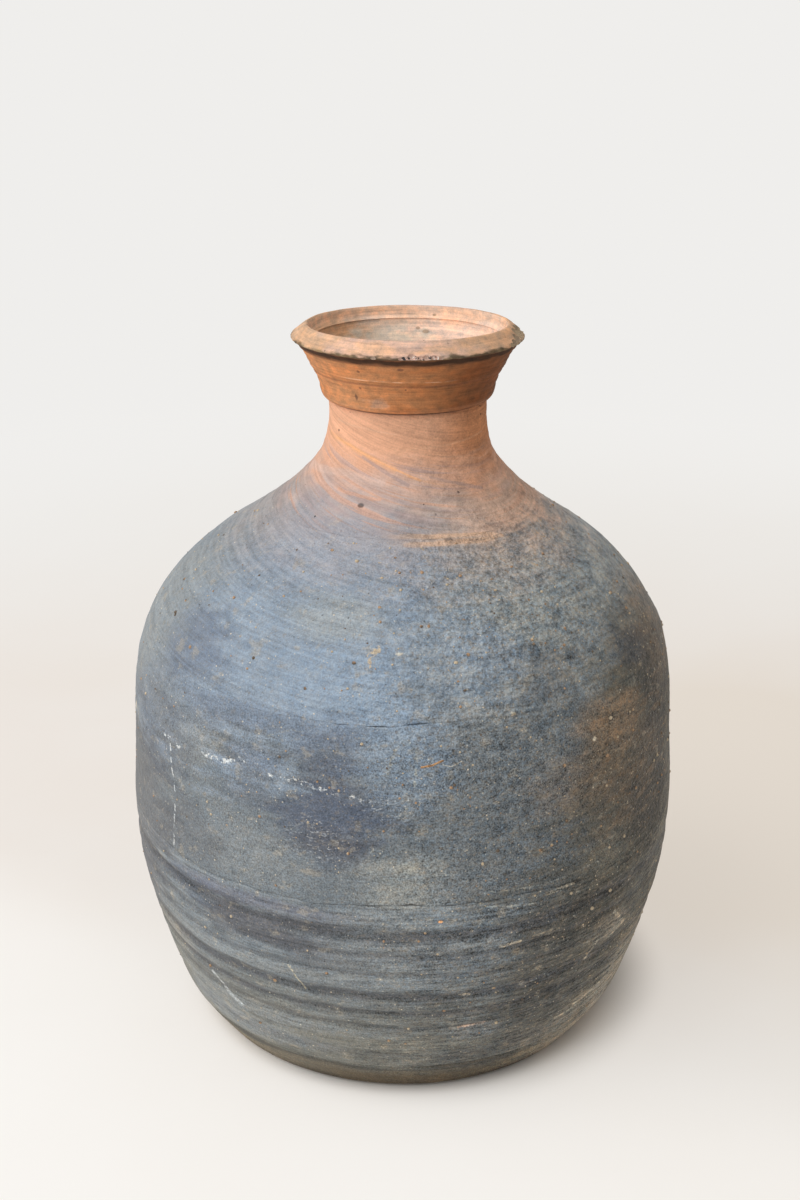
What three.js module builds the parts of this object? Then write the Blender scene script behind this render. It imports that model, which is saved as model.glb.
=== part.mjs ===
// An unglazed earthenware rice wine jar, built up on a slow wheel from seven sections of clay.
// Each section is a ring whose foot laps over a tongue on the ring below, where it is luted with slip:
// foot, lower wall, belly wall, shoulder, neck, collar and lip.
// Units are millimetres and +Z is up. The jar stands on Z = 0 with its belly centred on the Z axis.

import * as THREE from 'three';

// Height of each section, from seam to seam
const FOOT_HEIGHT = 24;
const LOWER_WALL_HEIGHT = 109;
const BELLY_WALL_HEIGHT = 93;
const SHOULDER_HEIGHT = 68;
const NECK_HEIGHT = 56.5;
const COLLAR_HEIGHT = 27;
const LIP_HEIGHT = 10.7;

// Outside radius on the ground, at the seams and in the neck, and how far the belly wall draws in
const FOOT_RADIUS = 111.2;
const FOOT_SEAM_RADIUS = 127.6;
const BELLY_RADIUS = 150;
const BELLY_DRAW_IN = 9.8;
const NECK_SEAM_RADIUS = 71;
const NECK_TOP_RADIUS = 41.2;

// The collar stands proud of the neck below it and flares to the lip
const COLLAR_STEP = 2.2;
const COLLAR_FLARE = 12.1;

// The lip overhangs the collar, and slopes from its crest out to its widest line
const LIP_OVERHANG = 4.9;
const LIP_STEP = 1;
const LIP_EDGE_RISE = 3.9;
const LIP_ROUND = 0.8;
const BEVEL_WIDTH = 7.2;
const CREST_WIDTH = 1;
const LIP_ROLL_DEPTH = 0.7;

// Thickness of the clay
const FLOOR_THICKNESS = 11;
const BODY_WALL = 9;
const RIM_WALL = 6.5;

// The lapped joints: how far each tongue stands up, and the bed of slip beside and above it
const TONGUE_HEIGHT = 6;
const LIP_TONGUE_HEIGHT = 3;
const SLIP_GAP = 0.3;

// The neck leans to one side, and the mouth is a little higher at the front
const NECK_LEAN = 2.6;
const MOUTH_TILT_DEGREES = 1.5;

// How finely the curved walls are drawn
const RING_STEPS = 56;
const BODY_ROW = 17;
const CURVED_ROW = 8.5;
const COLLAR_ROW = 4.5;
const SLOPE_SPAN = 1;

// Share of the way through the clay: the joints lie in its middle
const MIDDLE = 0.5;
const INNER_FACE = 1;

// Heights of the seams, each standing on the one below
const FOOT_SEAM = FOOT_HEIGHT;
const BELLY_SEAM = FOOT_SEAM + LOWER_WALL_HEIGHT;
const SHOULDER_SEAM = BELLY_SEAM + BELLY_WALL_HEIGHT;
const NECK_SEAM = SHOULDER_SEAM + SHOULDER_HEIGHT;
const COLLAR_SEAM = NECK_SEAM + NECK_HEIGHT;
const LIP_SEAM = COLLAR_SEAM + COLLAR_HEIGHT;

const SHOULDER_SEAM_RADIUS = BELLY_RADIUS - BELLY_DRAW_IN;
const COLLAR_FOOT_RADIUS = NECK_TOP_RADIUS + COLLAR_STEP;
const COLLAR_TOP_RADIUS = COLLAR_FOOT_RADIUS + COLLAR_FLARE;

// Each bow says how a section's wall curves between its two seams. A pair is a share of the
// section's height and the share of its change in radius that the wall has made by then.
const FOOT_BOW = [[0.42, 0.46]];
const LOWER_WALL_BOW = [[0.16, 0.28], [0.39, 0.61], [0.7, 0.92]];
const BELLY_WALL_BOW = [[0.4, 0.22], [0.75, 0.45]];
const SHOULDER_BOW = [[0.35, 0.2], [0.65, 0.5], [0.87, 0.82]];
const NECK_BOW = [[0.2, 0.43], [0.46, 0.84], [0.73, 0.98]];
const COLLAR_BOW = [[0.07, 0.11], [0.35, 0.27], [0.72, 0.68]];

// The heights and radii that a smooth line through a chain of sections passes
function throughSections(start, sections) {
  const heights = [start.height];
  const radii = [start.radius];
  let below = start;
  for (const section of sections) {
    for (const [rise, change] of [...section.bow, [1, 1]]) {
      heights.push(THREE.MathUtils.lerp(below.height, section.height, rise));
      radii.push(THREE.MathUtils.lerp(below.radius, section.radius, change));
    }
    below = section;
  }
  return new THREE.CubicInterpolant(heights, radii, 1);
}

const bodyLine = throughSections({ height: 0, radius: FOOT_RADIUS }, [
  { height: FOOT_SEAM, radius: FOOT_SEAM_RADIUS, bow: FOOT_BOW },
  { height: BELLY_SEAM, radius: BELLY_RADIUS, bow: LOWER_WALL_BOW },
  { height: SHOULDER_SEAM, radius: SHOULDER_SEAM_RADIUS, bow: BELLY_WALL_BOW },
  { height: NECK_SEAM, radius: NECK_SEAM_RADIUS, bow: SHOULDER_BOW },
  { height: COLLAR_SEAM, radius: NECK_TOP_RADIUS, bow: NECK_BOW },
]);

const collarLine = throughSections({ height: COLLAR_SEAM, radius: COLLAR_FOOT_RADIUS }, [
  { height: LIP_SEAM, radius: COLLAR_TOP_RADIUS, bow: COLLAR_BOW },
]);

// Outside radius of a line at a height
function radiusAt(line, height) {
  return line.evaluate(height)[0];
}

// The clay thins from the body to the rim over the height of the neck
function wallAt(height) {
  const share = THREE.MathUtils.clamp((height - NECK_SEAM) / NECK_HEIGHT, 0, 1);
  return THREE.MathUtils.lerp(BODY_WALL, RIM_WALL, share);
}

// Radius of the line that lies a share of the way through the clay, from 0 outside to INNER_FACE
function depthRadius(line, height, share) {
  const above = radiusAt(line, height + SLOPE_SPAN / 2);
  const below = radiusAt(line, height - SLOPE_SPAN / 2);
  const slope = (above - below) / SLOPE_SPAN;
  return radiusAt(line, height) - share * wallAt(height) * Math.hypot(1, slope);
}

// Points [radius, height] up a line, or down it if from is above to
function along(from, to, rowHeight, radiusOf) {
  const rows = Math.max(1, Math.round(Math.abs(to - from) / rowHeight));
  const points = [];
  for (let row = 0; row <= rows; row += 1) {
    const height = THREE.MathUtils.lerp(from, to, row / rows);
    points.push([radiusOf(height), height]);
  }
  return points;
}

// The lower half of a body joint: an outer ledge at the seam, and a tongue along the inner wall
function tongue(seam) {
  const side = (height) => depthRadius(bodyLine, height, MIDDLE) - SLIP_GAP / 2;
  const top = seam + TONGUE_HEIGHT;
  return [
    [side(seam), seam],
    [side(top), top],
  ];
}

// The upper half: a skirt that stands on the ledge outside the tongue
function skirt(seam) {
  const side = (height) => depthRadius(bodyLine, height, MIDDLE) + SLIP_GAP / 2;
  const roof = seam + TONGUE_HEIGHT + SLIP_GAP;
  return [
    [side(roof), roof],
    [side(seam), seam],
  ];
}

// A ring of body wall from the seam below it to the seam above it
function ringOutline(below, above, rowHeight) {
  const outside = (height) => radiusAt(bodyLine, height);
  const inside = (height) => depthRadius(bodyLine, height, INNER_FACE);
  return [
    ...along(below, above, rowHeight, outside),
    ...tongue(above),
    ...along(above + TONGUE_HEIGHT, below + TONGUE_HEIGHT + SLIP_GAP, rowHeight, inside),
    ...skirt(below),
  ];
}

// The foot: a floor with a turned-up edge, drawn from the axis outwards and back to the axis
function footOutline() {
  const inside = (height) => depthRadius(bodyLine, height, INNER_FACE);
  return [
    [0, 0],
    ...along(0, FOOT_SEAM, CURVED_ROW, (height) => radiusAt(bodyLine, height)),
    ...tongue(FOOT_SEAM),
    ...along(FOOT_SEAM + TONGUE_HEIGHT, FLOOR_THICKNESS, CURVED_ROW, inside),
    [0, FLOOR_THICKNESS],
  ];
}

// The joint on top of the neck: its tongue stands straight up inside the collar
const COLLAR_JOINT_MIDDLE = depthRadius(bodyLine, COLLAR_SEAM, MIDDLE);
const COLLAR_JOINT_INSIDE = depthRadius(bodyLine, COLLAR_SEAM, INNER_FACE);

function neckOutline() {
  const side = COLLAR_JOINT_MIDDLE - SLIP_GAP / 2;
  const top = COLLAR_SEAM + TONGUE_HEIGHT;
  const roof = NECK_SEAM + TONGUE_HEIGHT + SLIP_GAP;
  const inside = (height) => depthRadius(bodyLine, height, INNER_FACE);
  return [
    ...along(NECK_SEAM, COLLAR_SEAM, CURVED_ROW, (height) => radiusAt(bodyLine, height)),
    [side, COLLAR_SEAM],
    [side, top],
    [COLLAR_JOINT_INSIDE, top],
    ...along(COLLAR_SEAM, roof, CURVED_ROW, inside),
    ...skirt(NECK_SEAM),
  ];
}

// The joint on top of the collar: a short tongue along the inner wall locates the lip
const LIP_JOINT_MIDDLE = depthRadius(collarLine, LIP_SEAM, MIDDLE);
const LIP_JOINT_INSIDE = depthRadius(collarLine, LIP_SEAM, INNER_FACE);

// The collar overhangs the neck as a small step, and its funnel starts where the neck's bore ends
function collarOutline() {
  const side = COLLAR_JOINT_MIDDLE + SLIP_GAP / 2;
  const roof = COLLAR_SEAM + TONGUE_HEIGHT + SLIP_GAP;
  const tongueSide = LIP_JOINT_MIDDLE - SLIP_GAP / 2;
  const tongueTop = LIP_SEAM + LIP_TONGUE_HEIGHT;
  return [
    ...along(COLLAR_SEAM, LIP_SEAM, COLLAR_ROW, (height) => radiusAt(collarLine, height)),
    [tongueSide, LIP_SEAM],
    [tongueSide, tongueTop],
    [LIP_JOINT_INSIDE, tongueTop],
    [LIP_JOINT_INSIDE, LIP_SEAM],
    [COLLAR_JOINT_INSIDE, roof],
    [side, roof],
    [side, COLLAR_SEAM],
  ];
}

// The lip: an undercut, a rounded widest edge, a bevel up to the crest and a slight roll inside
function lipOutline() {
  const edge = COLLAR_TOP_RADIUS + LIP_OVERHANG;
  const edgeHeight = LIP_SEAM + LIP_EDGE_RISE;
  const crest = LIP_SEAM + LIP_HEIGHT;
  const crestOutside = edge - LIP_ROUND - BEVEL_WIDTH;
  const mouth = crestOutside - CREST_WIDTH;
  const side = LIP_JOINT_MIDDLE + SLIP_GAP / 2;
  const roof = LIP_SEAM + LIP_TONGUE_HEIGHT + SLIP_GAP;
  return [
    [COLLAR_TOP_RADIUS + LIP_STEP, LIP_SEAM],
    [edge - LIP_ROUND, edgeHeight - LIP_ROUND],
    [edge, edgeHeight],
    [edge - LIP_ROUND, edgeHeight + LIP_ROUND],
    [crestOutside, crest],
    [mouth, crest - CREST_WIDTH / 2],
    [mouth - LIP_ROLL_DEPTH, (crest + roof) / 2],
    [LIP_JOINT_INSIDE, roof],
    [side, roof],
    [side, LIP_SEAM],
  ];
}

// How far the leaning neck has moved to the side at a height
function leanAt(height) {
  return NECK_LEAN * THREE.MathUtils.smoothstep(height, SHOULDER_SEAM, COLLAR_SEAM);
}

// How far a point of the lip is lifted, so that the mouth slopes down from front to back
function tiltAt(height, y) {
  const share = Math.max(0, (height - LIP_SEAM) / LIP_HEIGHT);
  return -y * share * Math.tan(THREE.MathUtils.degToRad(MOUTH_TILT_DEGREES));
}

// Turns an outline about the jar's axis, closing it on itself unless it starts on the axis
function turned(outline) {
  const points = outline.map(([radius, height]) => new THREE.Vector2(radius, height));
  if (points[0].x > 0) {
    points.push(points[0].clone());
  }
  const geometry = new THREE.LatheGeometry(points, RING_STEPS);
  geometry.rotateX(Math.PI / 2);
  const position = geometry.attributes.position;
  for (let index = 0; index < position.count; index += 1) {
    const height = position.getZ(index);
    position.setX(index, position.getX(index) + leanAt(height));
    position.setZ(index, height + tiltAt(height, position.getY(index)));
  }
  geometry.computeVertexNormals();
  return geometry;
}

// Earthenware of one colour: matt, with the smoked clay a little smoother than the red
function clay(color, roughness) {
  return new THREE.MeshStandardMaterial({ color, roughness, metalness: 0 });
}

const BROWN_FOOT_CLAY = 0x6b6154;
const SMOKED_CLAY = 0x5b6066;
const SHOULDER_CLAY = 0x716c68;
const RED_CLAY = 0xb97a58;
const PALE_RED_CLAY = 0xc9977a;

const sections = [
  ['foot', footOutline(), clay(BROWN_FOOT_CLAY, 0.85)],
  ['lower_wall', ringOutline(FOOT_SEAM, BELLY_SEAM, BODY_ROW), clay(SMOKED_CLAY, 0.7)],
  ['belly_wall', ringOutline(BELLY_SEAM, SHOULDER_SEAM, BODY_ROW), clay(SMOKED_CLAY, 0.7)],
  ['shoulder', ringOutline(SHOULDER_SEAM, NECK_SEAM, CURVED_ROW), clay(SHOULDER_CLAY, 0.75)],
  ['neck', neckOutline(), clay(RED_CLAY, 0.85)],
  ['collar', collarOutline(), clay(RED_CLAY, 0.85)],
  ['lip', lipOutline(), clay(PALE_RED_CLAY, 0.8)],
];

const jar = new THREE.Group();
for (const [name, outline, material] of sections) {
  const mesh = new THREE.Mesh(turned(outline), material);
  mesh.name = name;
  jar.add(mesh);
}

export default jar;
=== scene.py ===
# %% [markdown]
# # A rice wine jar of smoked earthenware
# The real jar was built on a slow wheel from seven sections of clay: foot, lower wall, belly wall,
# shoulder, neck, collar and lip. Each was luted to the one below with slip, and the whole was fired
# in smoke, which turned the body blue-grey and left the neck red.
#
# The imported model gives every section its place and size, and works in MuJoCo. This script draws
# the same seven sections as the eye sees them: finger grooves, cracks at the joints, chips, grit
# and stains. Everything is in metres in the model's own frame: +Z is up and the front looks to -Y.

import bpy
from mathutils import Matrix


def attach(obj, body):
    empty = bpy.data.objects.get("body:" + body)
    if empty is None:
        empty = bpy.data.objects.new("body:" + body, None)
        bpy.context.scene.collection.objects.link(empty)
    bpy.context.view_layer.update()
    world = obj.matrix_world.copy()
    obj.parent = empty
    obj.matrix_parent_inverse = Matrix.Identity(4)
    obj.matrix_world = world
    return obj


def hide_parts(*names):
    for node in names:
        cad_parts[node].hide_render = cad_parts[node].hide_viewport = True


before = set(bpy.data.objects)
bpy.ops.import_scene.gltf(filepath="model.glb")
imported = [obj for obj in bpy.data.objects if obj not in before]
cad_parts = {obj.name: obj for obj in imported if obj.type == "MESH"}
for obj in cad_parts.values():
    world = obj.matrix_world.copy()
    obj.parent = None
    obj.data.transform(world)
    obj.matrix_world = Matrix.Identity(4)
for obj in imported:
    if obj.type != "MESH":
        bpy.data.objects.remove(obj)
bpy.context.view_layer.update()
print("sections:", ", ".join(sorted(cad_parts)))

# %% Libraries and units
import math
import random
from bisect import bisect_right

import bpy
from mathutils import Vector

MM = 0.001

# %% [markdown]
# ## Camera
# The photograph was taken from a little above the shoulder. The ellipses of the foot, the belly and
# the mouth give the tilt (21 degrees down) and the distance, so the camera is placed by numbers and
# not by eye. Nothing is shifted: the middle of the picture is straight ahead.

# %% Camera
CAMERA_PLACE = (-1.4 * MM, -849.4 * MM, 561.2 * MM)
LOOK_DOWN_DEGREES = 21

bpy.ops.object.camera_add(
    location=CAMERA_PLACE, rotation=(math.radians(90 - LOOK_DOWN_DEGREES), 0, 0))
camera = bpy.context.object
camera.data.lens = 50
camera.data.sensor_width = 36
bpy.context.scene.camera = camera
bpy.context.scene.view_settings.view_transform = "Standard"
print("camera", [round(x / MM) for x in camera.location], "mm")

# %% [markdown]
# ## Stage and light
# A pale floor and one large soft window to the upper left, with a weak one above. The window's
# level is set so that a surface that faces it renders about as its colour is written, which keeps
# the clay right under any other light too. The floor's finish and the pale world behind it come
# at the end.

# %% Floor
FLOOR_SIZE = 40


def new_object(name):
    """Names the object that an operator has just added."""
    made = bpy.context.object
    made.name = made.data.name = name
    return made


bpy.ops.object.select_all(action="DESELECT")
bpy.ops.mesh.primitive_plane_add(size=FLOOR_SIZE)
floor = new_object("studio_floor")

# %% Window and fill
FULL_LEVEL = math.pi ** 2


def soft_window(name, azimuth, elevation, distance, size, level, colour):
    """A square lamp aimed at the belly. Level 1 lights what faces it to its own colour."""
    a, e = math.radians(azimuth), math.radians(elevation)
    away = Vector((math.sin(a) * math.cos(e), -math.cos(a) * math.cos(e), math.sin(e)))
    bpy.ops.object.light_add(type="AREA", location=Vector((0, 0, 0.2)) + away * distance)
    lamp = new_object(name)
    lamp.rotation_euler = away.to_track_quat("Z", "Y").to_euler()
    lamp.data.shape = "SQUARE"
    lamp.data.size = size
    lamp.data.energy = level * FULL_LEVEL * distance ** 2
    lamp.data.color = colour
    lamp.visible_camera = False
    return lamp


soft_window("window", -62, 38, 2.5, 2.6, 0.95, (1.0, 1.0, 1.0))
soft_window("ceiling", 10, 78, 2.4, 2.6, 0.32, (1.0, 0.99, 0.97))

# %% [markdown]
# ## The line of the wall
# A pot on a wheel is one line turned about its axis. The line is drawn through a few knots of
# height and radius, in millimetres, and the inner line lies one wall's thickness inside it.

# %% Heights and radii
FOOT_SEAM, BELLY_SEAM, SHOULDER_SEAM = 24, 133, 226
NECK_SEAM, COLLAR_SEAM, LIP_SEAM, CREST = 294, 350.5, 377.5, 388.2
BODY_KNOTS = [
    (0, 111.2), (10.1, 118.7), (24, 127.6), (41.4, 133.9), (66.5, 141.3), (100.3, 148.2),
    (133, 150), (170.2, 147.8), (202.8, 145.6), (226, 140.2), (249.8, 126.4), (270.2, 105.6),
    (285.2, 83.5), (294, 71), (305.3, 58.2), (320, 46), (335.2, 41.8), (350.5, 41.2),
]
COLLAR_KNOTS = [(350.5, 43.4), (352.4, 44.7), (360, 46.7), (369.9, 51.6), (377.5, 55.5)]
FLOOR_TOP = 11
BODY_WALL, RIM_WALL = 9, 6.5
TONGUE, LIP_TONGUE, SLIP = 6, 3, 0.3


def smooth_line(knots):
    """A smooth line through (height, radius) knots, as a function from height to radius."""
    slopes = [(r1 - r0) / (h1 - h0) for (h0, r0), (h1, r1) in zip(knots, knots[1:])]
    tangents = [slopes[0], *[(a + b) / 2 for a, b in zip(slopes, slopes[1:])], slopes[-1]]
    heights = [height for height, _ in knots]

    def radius_at(height):
        height = min(max(height, heights[0]), heights[-1])
        i = min(bisect_right(heights, height) - 1, len(slopes) - 1)
        span = heights[i + 1] - heights[i]
        t = (height - heights[i]) / span
        ease = t * t * (3 - 2 * t)
        bow = span * t * (1 - t) * ((1 - t) * tangents[i] - t * tangents[i + 1])
        return knots[i][1] * (1 - ease) + knots[i + 1][1] * ease + bow

    return radius_at


body_line = smooth_line(BODY_KNOTS)
collar_line = smooth_line(COLLAR_KNOTS)


def into_clay(line, height, share):
    """Radius of the line a share of the way through the wall, from 0 outside to 1 inside."""
    thin = min(max((height - NECK_SEAM) / (COLLAR_SEAM - NECK_SEAM), 0), 1)
    wall = BODY_WALL + thin * (RIM_WALL - BODY_WALL)
    slope = line(height + 0.5) - line(height - 0.5)
    return line(height) - share * wall * math.hypot(1, slope)


belly_inside = into_clay(body_line, BELLY_SEAM, 1)
print("belly", body_line(BELLY_SEAM), "mm, inside", round(belly_inside, 1), "mm")

# %% [markdown]
# ## Turning a section
# The outline of a section's clay is drawn by extruding one point along it, and a Screw modifier
# sweeps it round the axis, as the wheel does: the Spin operator takes minutes for so many steps.
# Rows lie about a millimetre apart on the outside, where fingers and grit will mark the clay, and
# crowd together at a seam, so that a crack can open there. The inside needs few rows. Each section
# stands on a ledge outside a tongue of the section below, as its solid does.

# %% Rows and outlines
SEAM_ROWS = (0.3, 0.75, 1.3)
FINE_ROW, NECK_ROW, RIM_ROW, INSIDE_ROW = 1.15, 0.85, 0.5, 6


def even_rows(line, low, high, spacing, margins=SEAM_ROWS):
    """Heights from low to high, evenly spaced along the wall and closer at both ends."""
    count = 500
    steps = [low + (high - low) * i / count for i in range(count + 1)]
    lengths = [0.0]
    for a, b in zip(steps, steps[1:]):
        lengths.append(lengths[-1] + math.hypot(b - a, line(b) - line(a)))
    first, last = (margins[-1], lengths[-1] - margins[-1]) if margins else (0, lengths[-1])
    rows = max(1, round((last - first) / spacing))
    wanted = [first + (last - first) * i / rows for i in range(rows + 1)]
    if margins:
        end = lengths[-1]
        wanted = [0, *margins[:-1], *wanted, *[end - m for m in margins[-2::-1]], end]

    def height_at(length):
        i = min(bisect_right(lengths, length) - 1, count - 1)
        rise, run = steps[i + 1] - steps[i], lengths[i + 1] - lengths[i]
        return steps[i] + rise * (length - lengths[i]) / run

    return [height_at(length) for length in wanted]


def outer_wall(line, low, high, spacing):
    return [(line(h), h) for h in even_rows(line, low, high, spacing)]


def inner_wall(low, high, spacing):
    """The inner face, from its top down."""
    heights = even_rows(body_line, low, high, spacing, ())
    return [(into_clay(body_line, h, 1), h) for h in reversed(heights)]


def tongue(seam):
    """The outer side of the tongue that stands up inside the next section."""
    return [(into_clay(body_line, h, 0.5) - SLIP / 2, h) for h in (seam, seam + TONGUE)]


def skirt(seam):
    """The ledge's inner side, which stands round the tongue below it."""
    roof = seam + TONGUE + SLIP
    return [(into_clay(body_line, h, 0.5) + SLIP / 2, h) for h in (roof, seam)]


def wall_section(low, high):
    """A ring of the body's wall between two seams."""
    return [
        *outer_wall(body_line, low, high, FINE_ROW),
        *tongue(high),
        *inner_wall(low + TONGUE + SLIP, high + TONGUE, INSIDE_ROW),
        *skirt(low),
    ]


# %% Turning an outline
def turn_on_wheel(name, outline, steps):
    """Extrudes a point along an outline of (radius, height) in mm and turns it about the axis."""
    points = [Vector((radius * MM, 0, height * MM)) for radius, height in outline]
    if points[0].x > 0:
        points.append(points[0])
    bpy.ops.object.select_all(action="DESELECT")
    bpy.ops.mesh.primitive_plane_add(size=MM)
    piece = new_object(name)
    bpy.ops.object.mode_set(mode="EDIT")
    bpy.ops.mesh.merge(type="CENTER")
    bpy.ops.transform.translate(value=points[0])
    for start, end in zip(points, points[1:]):
        bpy.ops.mesh.extrude_region_move(TRANSFORM_OT_translate={"value": end - start})
    bpy.ops.mesh.select_all(action="SELECT")
    bpy.ops.mesh.remove_doubles(threshold=0.01 * MM)
    bpy.ops.object.mode_set(mode="OBJECT")
    wheel = piece.modifiers.new("wheel", "SCREW")
    wheel.steps = wheel.render_steps = steps
    bpy.ops.object.modifier_apply(modifier=wheel.name)
    bpy.ops.object.mode_set(mode="EDIT")
    bpy.ops.mesh.select_all(action="SELECT")
    bpy.ops.mesh.remove_doubles(threshold=0.01 * MM)
    bpy.ops.mesh.normals_make_consistent(inside=False)
    bpy.ops.mesh.faces_shade_smooth()
    bpy.ops.object.mode_set(mode="OBJECT")
    print(name, len(piece.data.polygons), "faces")
    return piece


# %% The seven sections
BODY_STEPS, NECK_STEPS = 600, 480

FOOT_ROW, TURNED_EDGE = 0.9, 2.2
underside = [(radius, 0) for radius in (0, 25, 50, 75, 95, 104, 108.4)]
foot = turn_on_wheel("foot_slab", [
    *underside,
    *[(109.6, 0.25), (110.5, 0.8), (111.3, 1.6)],
    *[(r, h) for r, h in outer_wall(body_line, 0, FOOT_SEAM, FOOT_ROW) if h > TURNED_EDGE],
    *tongue(FOOT_SEAM),
    *inner_wall(FLOOR_TOP, FOOT_SEAM + TONGUE, INSIDE_ROW),
    *[(radius, FLOOR_TOP) for radius in (85, 60, 35, 12, 0)],
], BODY_STEPS)
lower_wall, belly_wall, shoulder = [
    turn_on_wheel(name, wall_section(low, high), BODY_STEPS) for name, low, high in (
        ("ribbed_lower_wall", FOOT_SEAM, BELLY_SEAM),
        ("smooth_belly_wall", BELLY_SEAM, SHOULDER_SEAM),
        ("domed_shoulder", SHOULDER_SEAM, NECK_SEAM))
]

# %% Neck, collar and lip
neck_bore = into_clay(body_line, COLLAR_SEAM, 1)
collar_joint = into_clay(body_line, COLLAR_SEAM, 0.5)
neck = turn_on_wheel("swept_neck", [
    *outer_wall(body_line, NECK_SEAM, COLLAR_SEAM, NECK_ROW),
    (collar_joint - SLIP / 2, COLLAR_SEAM),
    (collar_joint - SLIP / 2, COLLAR_SEAM + TONGUE),
    (neck_bore, COLLAR_SEAM + TONGUE),
    *inner_wall(NECK_SEAM + TONGUE + SLIP, COLLAR_SEAM, 3),
    *skirt(NECK_SEAM),
], NECK_STEPS)

lip_joint = into_clay(collar_line, LIP_SEAM, 0.5)
funnel_top = into_clay(collar_line, LIP_SEAM, 1)
funnel_foot = COLLAR_SEAM + TONGUE + SLIP
FUNNEL_ROWS = 22
collar = turn_on_wheel("wheel_lined_collar", [
    (42.5, COLLAR_SEAM),
    (43.35, COLLAR_SEAM + 0.15),
    *[(collar_line(h), h) for h in even_rows(collar_line, COLLAR_SEAM + 0.9, LIP_SEAM, RIM_ROW)],
    (lip_joint - SLIP / 2, LIP_SEAM),
    (lip_joint - SLIP / 2, LIP_SEAM + LIP_TONGUE),
    (funnel_top, LIP_SEAM + LIP_TONGUE + 0.9 * SLIP),
    *[(funnel_top + (neck_bore - funnel_top) * i / FUNNEL_ROWS,
       LIP_SEAM + (funnel_foot - LIP_SEAM) * i / FUNNEL_ROWS) for i in range(FUNNEL_ROWS + 1)],
    (collar_joint + SLIP / 2, funnel_foot),
    (collar_joint + SLIP / 2, COLLAR_SEAM),
], NECK_STEPS)


def rounded(points, times):
    """Cuts the corners of an open outline, again and again, which rounds them."""
    for _ in range(times):
        cut = [points[0]]
        for (r0, h0), (r1, h1) in zip(points, points[1:]):
            cut.append((0.75 * r0 + 0.25 * r1, 0.75 * h0 + 0.25 * h1))
            cut.append((0.25 * r0 + 0.75 * r1, 0.25 * h0 + 0.75 * h1))
        points = [*cut, points[-1]]
    return points


def with_rows(points, spacing):
    """Adds rows between an outline's points, no further apart than spacing."""
    filled = [points[0]]
    for (r0, h0), (r1, h1) in zip(points, points[1:]):
        rows = max(1, math.ceil(math.hypot(r1 - r0, h1 - h0) / spacing))
        for i in range(1, rows + 1):
            filled.append((r0 + (r1 - r0) * i / rows, h0 + (h1 - h0) * i / rows))
    return filled


lip_face = [
    (56.3, LIP_SEAM), (56.4, 378.9), (57.0, 380.0), (58.8, 380.5), (60.2, 380.9), (60.4, 381.7),
    (59.7, 382.6), (57.6, 384.2), (55.2, 386.2), (52.9, 387.9), (51.7, 388.1), (51.1, 387.2),
    (50.8, 385.4), (50.6, 383.8), (50.2, 382.6), (49.4, 381.6),
    (48.4, LIP_SEAM + LIP_TONGUE + SLIP),
]
lip = turn_on_wheel("bevelled_lip", [
    *with_rows(rounded(lip_face, 2), RIM_ROW),
    (lip_joint + SLIP / 2, LIP_SEAM + LIP_TONGUE + SLIP),
    (lip_joint + SLIP / 2, LIP_SEAM),
], NECK_STEPS)

# %% [markdown]
# ## Sums that shape and colour
# A finger groove is pressed into the clay and is also darker than the ridges, and both must follow
# the same line. So each such line is written once, as a sum that takes either plain numbers, to
# move points, or the signals of a material, to mix colours. Angles are in degrees, 0 at the front
# and growing to the right, and heights in millimetres.

# %% Sine, soft step and waves
def sine(value):
    return math.sin(value) if isinstance(value, (int, float)) else value.maths("SINE", value)


def ease(value, low, high):
    """0 at low, 1 at high and a soft step between. Low may be the greater of the two."""
    if not isinstance(value, (int, float)):
        return value.graph.step(value, low, high)
    t = min(max((value - low) / (high - low), 0), 1)
    return t * t * (3 - 2 * t)


def wave(azimuth, waves, phase=0.0):
    """A wobble from -1 to 1 with a whole number of waves round the jar."""
    return sine(azimuth * math.radians(waves) + phase)


# %% Finger grooves and open joints
GROOVES = (
    (117, 6.5, 1.0), (105, 4.5, 0.6), (93.5, 2.8, 0.5), (78.5, 5, 1.0), (66.5, 4.5, 0.9),
    (56.5, 3.2, 0.5), (34, 6, 0.35),
)
GROOVE_DEPTH = 1.0
CRACKS = {BELLY_SEAM: (4, 30), SHOULDER_SEAM: (0, 22)}


def groove_share(azimuth, height):
    """0 on the ridges, more in a finger groove: (height, half its width, strength) in GROOVES."""
    level = height + 1.3 * wave(azimuth, 1, 0.5) + 0.8 * wave(azimuth, 3, 1.1)
    level = level + 0.5 * wave(azimuth, 7)
    return sum(share * ease(abs(level - middle), half, 0) for middle, half, share in GROOVES)


def finger_pressure(azimuth):
    """The potter pressed hardest at what is now the front left."""
    return 0.66 + 0.34 * wave(azimuth, 1, 2.2)


def joint_drift(azimuth, seam):
    """How far up or down a joint wanders, in mm."""
    slow = 0.9 * wave(azimuth, 5, seam) + 0.5 * wave(azimuth, 13, 2 * seam)
    return slow + 0.25 * wave(azimuth, 31, seam) + 0.15 * wave(azimuth, 67)


def joint_gape(azimuth, seam):
    """How far a joint gapes: in short spells at the front, closed elsewhere."""
    centre, half = CRACKS[seam]
    spells = 0.28 + 0.6 * wave(azimuth, 17, seam) * wave(azimuth, 29, seam)
    spells = spells + 0.4 * wave(azimuth, 47)
    return ease(abs(azimuth - centre), half * 1.2, half * 0.6) * spells


# %% [markdown]
# ## Hand marks
# Two tools shape the clay from here. `press` paints a vertex group with how far each point moves
# and lets a Displace modifier move it: it makes what has a place, such as a groove or a crack.
# `roughen` gives Displace a cloud pattern instead, stretched by an empty: it makes what is
# scattered, such as the wobble of a hand or the drag of a wet cloth. Both are applied at once.

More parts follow.
